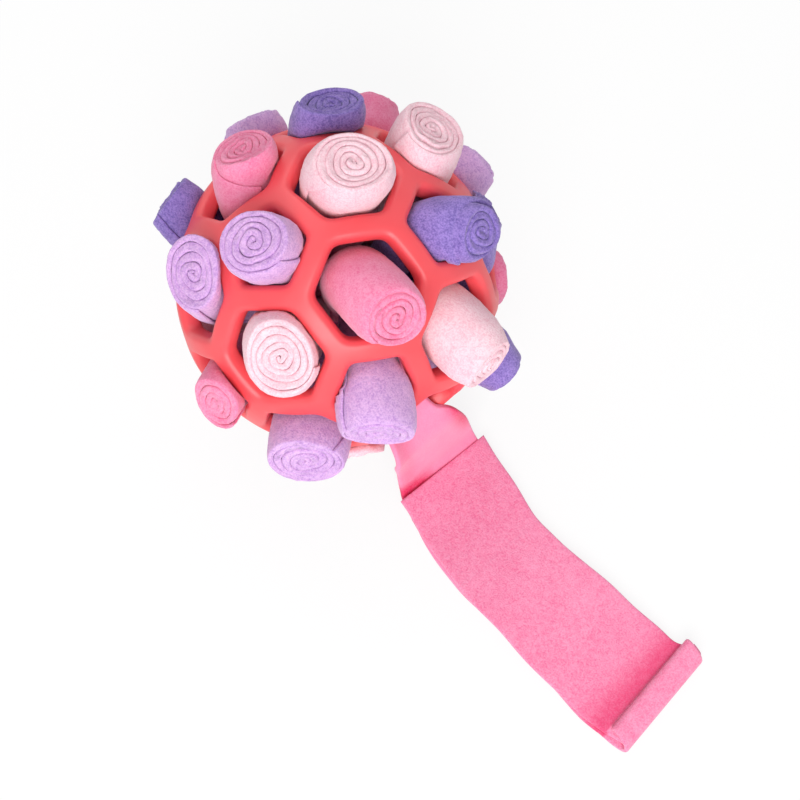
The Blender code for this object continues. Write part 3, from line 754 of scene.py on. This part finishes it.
def winding(girth):
    """The angle at each step along the strip, from its heart, and the last angle."""
    whole = (girth - HEART) / PITCH * math.tau
    angles = [0.0]
    while angles[-1] < whole:
        radius = HEART + PITCH * angles[-1] / math.tau
        # 14 steps to a turn at the heart, and 36 at the outside
        angles.append(angles[-1] + math.tau / (14 + 22 * radius / girth))
    angles = np.array(angles[:-1])
    inner_tip = TIP / HEART * 0.8
    angles = angles[(angles > inner_tip[-1] + 0.1) & (angles < whole - 0.12)]
    return np.concatenate([inner_tip, angles, whole - TIP[::-1] / girth]), whole


def both_faces(angles, last):
    """How far the ply's faces lie from the roll's middle; last is 0 to 1 over the last turn."""
    spiral = HEART + PITCH * angles / math.tau
    outer = spiral - EDGE_PRESSED * PLY * last**3
    # The first turn has no ply under it and fills the heart
    folded = np.clip((angles / math.tau - 0.8) / 0.2, 0.0, 1.0)
    heart = HEART_HOLE + folded * (spiral - PLY - HEART_HOLE)
    inner = np.where(angles < math.tau, heart, spiral - PLY)
    return outer, np.maximum(inner, HEART_HOLE)


def uneven_turns(share, turned, first, second):
    """Shares of the way to the outside; by hand the turns crowd on one side and gape on another."""
    return share + 4.0 * share * (1.0 - share) * (0.04 * np.sin(2 * turned + first + 3 * share)
                                                  + 0.025 * np.sin(3 * turned + second - 4 * share))


def eased(value):
    """From 0 to 1 with soft ends."""
    value = np.clip(value, 0.0, 1.0)
    return value * value * (3.0 - 2.0 * value)


angles, whole = winding(ROLL_R[6])
print("turns of a six-sided hole's roll:", round(whole / math.tau, 1), "in steps:", len(angles))

# %% [markdown]
# ## Dents, creases and the end
# A roll is pushed in by hand, so its outside is dented and creased, and oval where its hole
# squeezes it. Bump alone would leave its outline too clean, so the dents are in the mesh. On its
# end each ply stands a little higher or lower than the next, which shows the spiral as real steps.

# %% Dents, creases and the end
def length_steps(end):
    """Distances along a roll: wide apart inside the ball, and close together at the end."""
    inside = np.concatenate([[0.0, 8, 16, 23], np.arange(28, end / MM - 8.5, 2.0)]) * MM
    lip = np.array([7.6, 6, 4.6, 3.4, 2.2, 1.2, 0.5, 0.12, 0.0]) * MM
    return np.concatenate([inside, end - lip])


def dents(turned, run, wrinkle, phases):
    """How far the outside is dented and creased, as a share of the radius."""
    a, b, c, d = phases
    return 0.012 * np.sin(3 * turned + a + run) + 0.014 * np.sin(2 * turned + b - 0.7 * run) \
        + 0.01 * np.sin(run * 1.9 + c) \
        + 0.006 * wrinkle * np.sin(8 * turned + d + 1.2 * np.sin(run * 1.3 + a))


def end_rise(kind, angles, whole, phases):
    """How far each ply stands out at the end of the roll."""
    a, _, _, d = phases
    return kind.dome * MM * (1.0 - (angles / whole) ** 2) \
        + 0.4 * MM * np.sin(angles * 0.73 + d) + 0.28 * MM * np.sin(angles * 1.87 + a) \
        - kind.short * MM * eased((angles - whole + 1.15 * math.tau) / (0.5 * math.tau))


print("steps along a roll of 70 mm:", len(length_steps(70 * MM)))

# %% A wound roll
# The slant of the free edge and the rise of the plies both come in over the last 14 mm, and the
# dents over the first 45 mm
END_PART, DENT_PART = 14 * MM, 45 * MM
SHAKE = 0.07 * MM


def wound_points(kind, cell, index):
    """The middle of the wound strip in the roll's frame, the ply's thickness, and its length."""
    chance = np.random.RandomState(100 + index)
    sides = len(cell.corners)
    at, line, turn, width = roll_line(kind, sides)
    girth, end = ROLL_R[sides] * kind.girth, at[-1]
    steps = length_steps(end)
    # The roll's middle, with two directions across it, at each step along it
    centre, axis = along_line(steps, at, line), unit(along_line(steps, at, turn))
    radius = np.interp(steps, at, width)
    side = unit(np.cross([0.0, 1.0, 0.0], axis))
    over = np.cross(axis, side)
    # The directions round it; a free edge cut on a slant makes the last turn longer further down
    angles, whole = winding(girth)
    last = np.clip((angles - (whole - math.tau)) / math.tau, 0.0, 1.0)
    slant = math.radians(kind.slant) * np.clip((end - steps) / END_PART, 0.0, 1.0)
    wound = angles[:, None] + last[:, None] * slant[None, :]
    seam = math.radians(kind.seam if kind.seam is not None else chance.uniform(0, 360))
    turned = seam + kind.spin * (wound - whole)
    way = side * np.cos(turned)[..., None] + over * np.sin(turned)[..., None]
    outer, inner = both_faces(wound, last[:, None])
    size = outer.max()
    # The outside, dented, oval and squeezed by the ribs, with all the plies drawn in under it
    phases = chance.uniform(0, math.tau, 4)
    bumps = dents(turned, steps[None, :] / (10 * MM), kind.wrinkle, phases)
    oval = kind.oval * np.cos(2 * (turned - math.radians(kind.oval_at)))
    outside = radius[None, :] * (1.0 + (bumps + oval) * np.clip(steps / DENT_PART, 0, 1)[None, :])
    outside = squeezed(centre[None], way, outside, rib_planes(cell, roll_frame(cell)))
    outer, inner = (uneven_turns(face / size, turned, phases[0], phases[2]) * size
                    for face in (outer, inner))
    scale = outside / size
    middle_r = (outer + inner) / 2.0 * scale + chance.normal(0.0, SHAKE, wound.shape)
    thick = np.maximum(outer - inner, 0.4 * MM) * scale
    # The end, where each ply stands out by its own amount; a roll on the table can't go lower
    rise = end_rise(kind, angles, whole, phases)
    if index in ON_THE_TABLE:
        rise = np.minimum(rise, 0.0)
    lift = np.clip((steps - (end - END_PART)) / END_PART, 0, 1) ** 2
    points = centre[None] + way * middle_r[..., None] + axis[None] * (rise[:, None] * lift)[..., None]
    cut = np.minimum(angles * HEART / 0.8, (whole - angles) * girth)
    return points, rounding(np.minimum(cut[:, None], (end - steps)[None, :]), thick), end


print("the plies are shaken by", SHAKE / MM, "mm")

# %% All the rolls
def wound_roll(index):
    """One strip of fleece, wound up and pushed into its hole."""
    cell = hole_of(index)
    points, thick, end = wound_points(ROLLS[index], cell, index)
    points = points @ roll_frame(cell) + np.array(BALL_AT)
    name = node_of(index)
    made = cloth(name.replace("roll", "wound_fleece"), points, thick)
    colour = name[len("roll_00_"):]
    made.data.materials.append(FLEECE[colour])
    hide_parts(name)
    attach(made, f"roll_{index:02d}")
    return made


rolls = [wound_roll(index) for index in sorted(ROLLS)]
print("triangles in the rolls:", sum(2 * len(roll.data.polygons) for roll in rolls))

# %% [markdown]
# ## The knot
# All the strips are sewn together in the middle of the ball. The knot is a firm bundle: each strip
# makes a small pad on it, with a crease between one pad and the next. It could be a plain ball,
# because so little of it is seen, but pads and creases cost only a few lines.

# %% Knot
# Shares of the core's radius: how far the pads reach, and how much deeper the creases are
PAD_SHARE, CREASE_SHARE = 0.965, 0.075
CREASE_WIDTH = 0.045


def sewn_knot():
    """A ball of fleece pads, one behind each hole."""
    solid = bmesh.new()
    bmesh.ops.create_icosphere(solid, subdivisions=5, radius=CORE_R)
    normals = np.array([cell.normal for cell in cells])
    for vertex in solid.verts:
        # Halfway between two holes, both are equally near, and the crease is at its deepest
        near = np.sort(normals @ np.array(vertex.co.normalized()))
        crease = math.exp(-(((near[-1] - near[-2]) / CREASE_WIDTH) ** 2))
        vertex.co *= PAD_SHARE - CREASE_SHARE * crease
        vertex.co += BALL_AT
    mesh = bpy.data.meshes.new("sewn_knot")
    solid.to_mesh(mesh)
    solid.free()
    made = add_smooth_object("sewn_knot", mesh)
    made.data.materials.append(FLEECE["pink"])
    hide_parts("sewn_core")
    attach(made, "ball")
    return made


knot = sewn_knot()
print("knot triangles:", len(knot.data.polygons))

# %% [markdown]
# ## The open strip
# The strip that was pulled out is a long piece of fleece, folded double. Its first section comes
# from the knot, over the lowest corner of its hole, fans out and drops to the table. It runs on as
# the under ply. The top ply starts with a straight cut just past the foot, and both end in a roll.
# Each ply is made in three lengths that meet where it is straight. Cloth could be dropped on the
# table by a simulation, but it would slide and settle, and a grid whose edges are given stays as
# straight and as wide as the real strip.

# %% Edges of the strip
# The strip is measured from a point on the table beside the ball, x along it and y across it
STRIP_ZERO = Vector((BALL_AT.x, BALL_AT.y, 0.0)) + Vector((75.16, 2.06, 0.0)) * MM
EDGE_X = np.array([5, 14, 28, 43, 57, 72, 87, 102, 118, 134, 150]) * MM
LEFT_Y = np.array([-33.4, -34.2, -36.1, -38.3, -39.3, -39.1, -38.7, -38.3, -38.0, -36.2, -34.5]) * MM
RIGHT_Y = np.array([21.6, 20.2, 17.9, 15.2, 12.9, 13.3, 16.0, 17.7, 19.2, 20.9, 22.3]) * MM
# Where the top ply starts, and where the lengths of both plies meet
START_X, FIRST_CUT, SECOND_CUT = 6.2 * MM, 57 * MM, 126 * MM


def hump(distance, width):
    """1 in the middle of a band, and softly down to 0 on both sides."""
    return np.exp(-((distance / width) ** 2))


def smooth_curve(at, places, values):
    """Values between named places along a line, with the corners softened."""
    fine = np.linspace(places[0], places[-1], 400)
    return np.interp(at, fine, softened(np.interp(fine, places, values), 9))


def strip_edges(at, tuck):
    """The left and right edge at each place; a tuck of 1 is the under ply, mostly inside the top."""
    left = smooth_curve(at, EDGE_X, LEFT_Y) + 0.3 * MM * np.sin(at / (6 * MM))
    right = smooth_curve(at, EDGE_X, RIGHT_Y) + 0.3 * MM * np.sin(at / (5.3 * MM) + 1)
    near = 2.6 * hump(at, 14 * MM)
    left = left + tuck * (0.6 + near + 1.6 * np.sin(at / (17 * MM) + 2.2)) * MM
    right = right - tuck * (1.5 + near + 0.9 * np.sin(at / (13 * MM))) * MM
    return left, right


def waves(x, y, seed):
    """Low waves, since fleece never lies quite flat."""
    return 0.22 * MM * np.sin(x / (11 * MM) + seed) * np.sin(y / (16 * MM) + 2 * seed) \
        + 0.16 * MM * np.sin(x / (5 * MM) + y / (9 * MM) + seed)


left, right = strip_edges(np.array([START_X, 70 * MM, 140 * MM]), 0.0)
print("strip width (mm):", np.round((right - left) / MM, 1))

# %% [markdown]
# ## Painted shade on the strip
# In the hollow beside its roll, under the raised corner at the top ply's cut edge and along the sides
# of the first section, shade falls on the strip, and its colour is painted deeper there. A material
# can't know where that is, so a number from 0 to 1 is written on each point of the mesh, and the
# material mixes its colours by it.

# %% Painted shade on the strip
# The rolled end isn't square to the strip: its foot goes back by 0.13 mm for each mm across
ROLL_FOOT, ROLL_SLANT = 149.0, 0.13


def paint_strip_shade(made):
    """Writes how much shade is painted on each point of the strip, from 0 to 1; lengths in mm."""
    points = np.empty(3 * len(made.data.vertices))
    made.data.vertices.foreach_get("co", points)
    x, y, z = (points.reshape(-1, 3) - np.array(STRIP_ZERO)).T / MM
    # Painted shade in the hollow beside the roll, on what lies flat and not on the roll itself
    to_roll = ROLL_FOOT - ROLL_SLANT * y - x
    by_roll = np.clip(1.1 * hump(to_roll, 11.5 - 0.06 * y), 0.0, 1.0) * (to_roll > -1.0) \
        * np.clip((8.0 - z) / 1.5, 0.0, 1.0)
    # Painted shade on the first section: at its foot, under the raised corner of the top ply and
    # towards the left, and along both of its sides
    by_cut = 1.9 * hump(z - 1.5, 9.0) * np.clip((-y - 9.0) / 12.0, 0.0, 1.0)
    by_side = 1.1 * hump(19.6 - 0.2 * z - y, 5.0) * np.clip((z - 16.0) / 20.0, 0.0, 1.0)
    by_side += 0.32 * hump(y + 24.0, 5.0)
    on_fall = np.clip(np.maximum(by_cut, by_side), 0.0, 1.0) * (x < START_X / MM)
    flat = made.data.attributes.new("painted_shade", "FLOAT", "POINT")
    flat.data.foreach_set("value", np.maximum(by_roll, on_fall).astype(np.float32))


print("the roll's foot is", ROLL_FOOT, "mm along the strip")

# %% [markdown]
# ## One length of the strip
# Every length is the same kind of piece: a grid of points, closed to a sheet. Its bends are
# spread over some millimetres, because cloth turns in a curve and not in a line.

# %% Grids and bends
THICK = 2.9 * MM
UNDER_Z, TOP_Z = 1.5 * MM, 4.75 * MM
# More than any length, for an end that isn't cut
FAR = 1.0
Bend = namedtuple("Bend", "bodies start stop")


def across_shares():
    """Shares of the width, closer together at the edges."""
    tip = TIP / (50 * MM)
    return np.concatenate([tip, np.linspace(0.05, 0.95, 34), 1.0 - tip[::-1]])


def laid_grid(x, z, place, tuck, drift=0.0):
    """Points of a ply that follows a line in x and z, drifting sideways, and slanting with it."""
    left, right = strip_edges(place, tuck)
    y = left[:, None] + (right - left)[:, None] * across_shares()[None, :]
    drift = np.broadcast_to(drift, x.shape)[:, None]
    wave = waves(place[:, None], y, 1.3) * np.clip(1.0 - drift, 0.2, 1.0)
    return np.stack([x[:, None] - ROLL_SLANT * y * np.minimum(drift * 3.0, 1.0),
                     y + drift * 6 * MM, z[:, None] + wave], -1)


def flat_grid(x, z, tuck):
    """Points of a ply that lies flat, at this height and never in the table."""
    grid = laid_grid(x, np.full(x.shape, z), x, tuck)
    grid[..., 2] = np.maximum(grid[..., 2], THICK / 2.0)
    return grid


print("points across the strip:", len(across_shares()))

# %% One length of the strip
def strip_length(name, middle, nodes, caps, fleece=FLEECE["pink"], to_tip=FAR, thick=THICK):
    """A closed sheet over a grid of points, for one length of the strip."""
    wide = np.linalg.norm(np.diff(middle, axis=1), axis=2).sum(axis=1)
    share = across_shares()
    to_side = np.minimum(share, 1.0 - share)[None, :] * wide[:, None]
    to_edge = np.minimum(to_side, np.reshape(to_tip, (-1, 1)))
    solid = rounding(to_edge, np.broadcast_to(np.reshape(thick, (-1, 1)), to_side.shape))
    made = cloth(name, middle + np.array(STRIP_ZERO), solid, flat_caps=caps)
    made.data.materials.append(fleece)
    # Painted shade where shade falls on the strip
    paint_strip_shade(made)
    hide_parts(*nodes)
    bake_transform(made)
    return made


MIDDLE_X = np.linspace(FIRST_CUT, SECOND_CUT, 56)
print("the middle lengths run from", FIRST_CUT / MM, "to", SECOND_CUT / MM, "mm")

# %% Top ply, the near two lengths
x = np.concatenate([START_X + TIP, np.linspace(8.4, 57, 34) * MM])
from_cut = x - START_X
grid = laid_grid(x, TOP_Z + 0.5 * MM * hump(from_cut, 9 * MM), x, 0.0)
# The left corner of the cut edge stands up by 3 mm
grid[..., 2] += 3 * MM * hump(from_cut, 13 * MM)[:, None] * (1.0 - across_shares()) ** 2
strip_length("strip_top_near", grid, ("strip_near_top",), ("end",),
             to_tip=np.where(x < 8 * MM, from_cut, FAR))
strip_length("strip_top_middle", flat_grid(MIDDLE_X, TOP_Z, 0.0), ("strip_far_top",),
             ("start", "end"))

# %% [markdown]
# ## The first section
# It starts narrow at the knot, cups itself over the rim of its hole, and opens out as it drops. It
# could be bent from a flat piece, but hardly any of it lies in one plane. So its middle line, its
# width and its cup are each given at ten places, and softened curves through them hang as cloth does.

# %% First section
# Its middle line from the strip's zero, and its width there, in mm
TAIL = np.array([(-56.4, -4.5, 81.3), (-36.8, -7.6, 78.4), (-19.3, -13.0, 60.0), (-8.7, -14.3, 54.4),
                 (-2.4, -10.9, 44.9), (-0.8, -6.8, 27), (1.6, -5.6, 9), (5.5, -5.9, 2.8),
                 (11, -6.8, 1.5), (20, -8.3, 1.45)]) * MM
TAIL_WIDTH = np.array([7, 22, 21, 29.5, 41, 44.5, 47.4, 49.2, 50.5, 50.5]) * MM
# How far its two edges stand above its middle line
TAIL_CUP = np.array([1, 7, 7, 5, 1, -0.5, -0.8, -0.3, 0, 0]) * MM


def first_section():
    """From the knot over the rim and down to the table."""
    run = distances(TAIL)
    fine = np.linspace(0.0, run[-1], 300)
    at = np.linspace(0.0, run[-1], 84)
    line = along_line(at, fine, softened(along_line(fine, run, TAIL), 3.2 * MM / fine[1]))
    along = unit(np.gradient(line, axis=0))
    across = unit(np.array([0.0, 1.0, 0.0]) - along * along[:, 1:2])
    up = np.cross(along, across)
    half = smooth_curve(at, run, TAIL_WIDTH) / 2.0
    cup = smooth_curve(at, run, TAIL_CUP)
    share = across_shares() * 2.0 - 1.0
    return line[:, None] + across[:, None] * (half[:, None] * share)[..., None] \
        + up[:, None] * (cup[:, None] * share**2)[..., None]


tail = first_section()
print("length of the first section (mm):", round(distances(TAIL)[-1] / MM, 1))

# %% Under ply, the near two lengths
def onto_the_strip(grid):
    """The first section's edges brought to the strip's own, from 8 mm to 22 mm along it."""
    x = grid[..., 0]
    left, right = strip_edges(x.mean(axis=1), 1.0)
    wanted = left[:, None] + (right - left)[:, None] * across_shares()[None, :]
    grid[..., 1] += (wanted - grid[..., 1]) * np.clip((x - 8 * MM) / (14 * MM), 0.0, 1.0)
    return grid


near = flat_grid(np.linspace(22, 57, 20) * MM, UNDER_Z, 1.0)
strip_length("strip_under_near", onto_the_strip(np.concatenate([tail, near])),
             ("strip_tail", "strip_near_under"), ("end",), fleece=SMOOTH_FLEECE)
strip_length("strip_under_middle", flat_grid(MIDDLE_X, UNDER_Z, 1.0), ("strip_far_under",),
             ("start", "end"))

# %% [markdown]
# ## The rolled end
# Both plies turn up and back over themselves into a flat roll, with the under ply outside. The
# roll was made a little askew, so its bar stands out on one side of the strip and is set in on
# the other. It is made as the same grid along a line that turns back on itself, and not as a
# separate bar, so the cloth runs into it without a seam.

# %% Lines of the rolled end
def arc(centre_x, centre_z, radius, start, stop, count):
    """Points on part of a circle in x and z."""
    turn = np.radians(np.linspace(start, stop, count))
    return np.stack([centre_x + radius * np.cos(turn), centre_z + radius * np.sin(turn)], -1)


# The middle of each ply in x and z: along the table, round the bend, and back over itself
UNDER_LINE = np.concatenate([[(126, 1.5), (131, 1.45), (136, 1.35), (141, 1.25), (146, 1.2),
    (150, 1.2), (154, 1.2)], arc(157.4, 4.95, 3.75, -90, 90, 11), [(155.5, 8.72), (153.8, 8.7)],
    arc(152.5, 6.6, 2.1, 95, 205, 6)]) * MM
TOP_LINE = np.concatenate([[(126, 4.75), (131, 4.7), (136, 4.5), (141, 4.15), (146, 3.7),
    (150, 3.6), (154, 3.55)], arc(157.4, 4.9, 1.35, -90, 90, 7), [(155.5, 6.25), (153.6, 6.25)]]) * MM
print("cloth in the under ply's last length (mm):", round(distances(UNDER_LINE)[-1] / MM, 1))

# %% Rolled end
# The ply thins from 6 mm past the cut, where the roll presses on it, and turns askew from 14 mm on
PRESSED_AT, PRESSED_OVER, PRESSED_BY = 6 * MM, 14 * MM, 0.6 * MM
ASKEW_AT = 14 * MM


def rolled_length(name, line, tuck):
    """The last length of a ply, turned up and back over itself."""
    run = distances(line)
    at = np.concatenate([np.linspace(0.0, run[-1] - 1.5 * MM, 60), run[-1] - TIP[::-1]])
    fine = np.linspace(0.0, run[-1], 400)
    x, z = along_line(at, fine, softened(along_line(fine, run, line), 4)).T
    drift = eased((at - ASKEW_AT) / (run[-1] - ASKEW_AT))
    place = np.minimum(SECOND_CUT + at, EDGE_X[-1])
    thick = THICK - PRESSED_BY * np.clip((at - PRESSED_AT) / PRESSED_OVER, 0.0, 1.0)
    return strip_length(name, laid_grid(x, z, place, tuck, drift), ("strip_rolled_end",),
                        ("start",), to_tip=run[-1] - at, thick=thick)


rolled_length("strip_under_rolled", UNDER_LINE, 1.0)
rolled_length("strip_top_rolled", TOP_LINE, 0.0)
